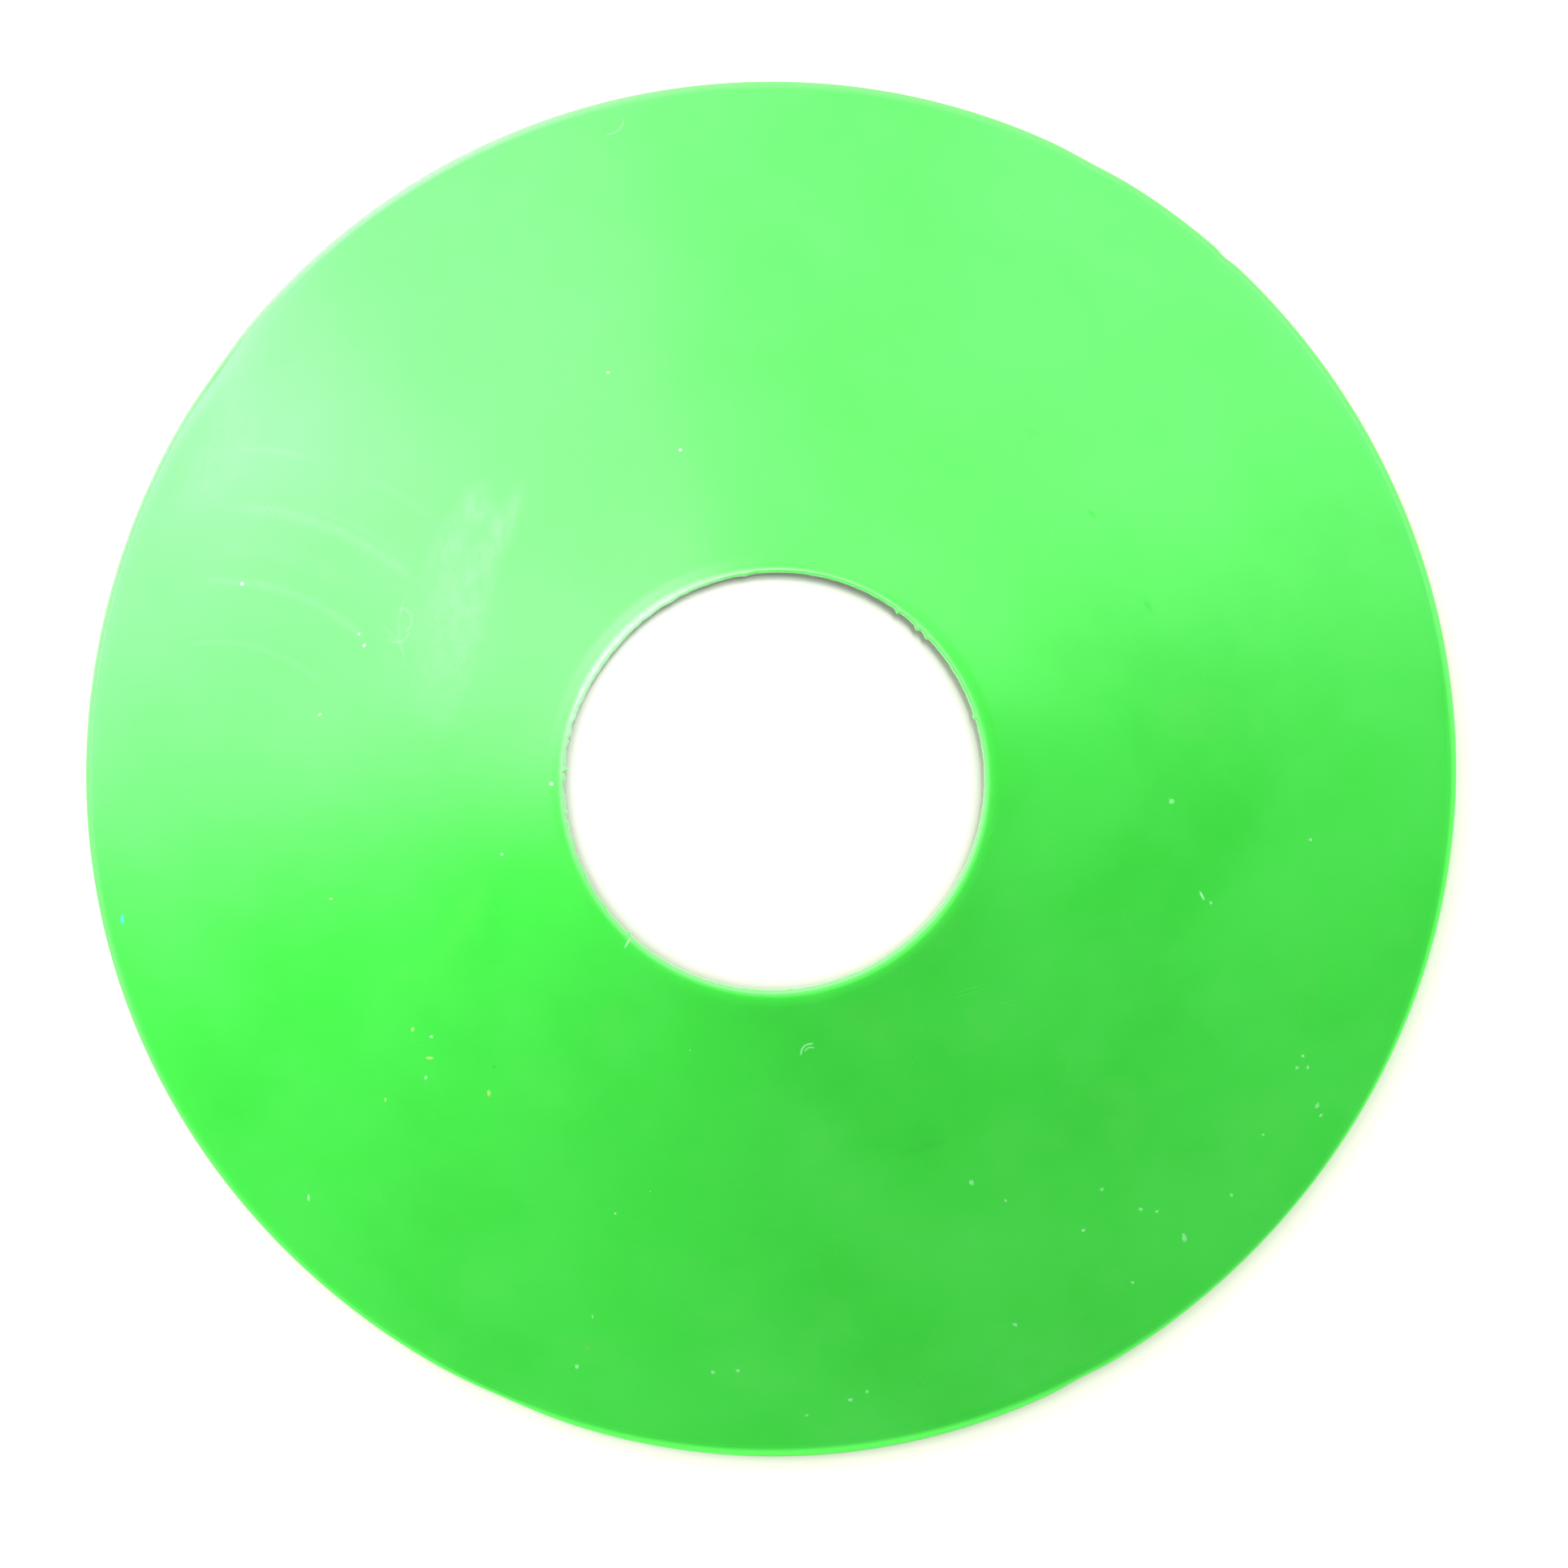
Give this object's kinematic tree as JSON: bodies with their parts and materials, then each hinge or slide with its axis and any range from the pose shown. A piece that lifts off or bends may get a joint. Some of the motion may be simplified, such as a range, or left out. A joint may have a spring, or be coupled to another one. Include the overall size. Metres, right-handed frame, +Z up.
{
  "type": "flying ring",
  "caption": "Thin one-piece plastic ring for lawn games: a shallow hollow cone with a round hole at its top, a rounded lip and a turned-down rim that stands on the ground.",
  "frame": {"origin": "on the ring's axis, in the plane of the ground that its rim stands on", "axes": "+Z up along the ring's axis, from the rim to the hole; X and Y are any two directions across the ring, which is round"},
  "size_m": [0.2, 0.2, 0.0386],
  "materials": {
    "green_plastic": "smooth moulded plastic, lightly scuffed"
  },
  "bodies": {
    "root": {"ring_shell": "green_plastic"}
  },
  "joints": []
}
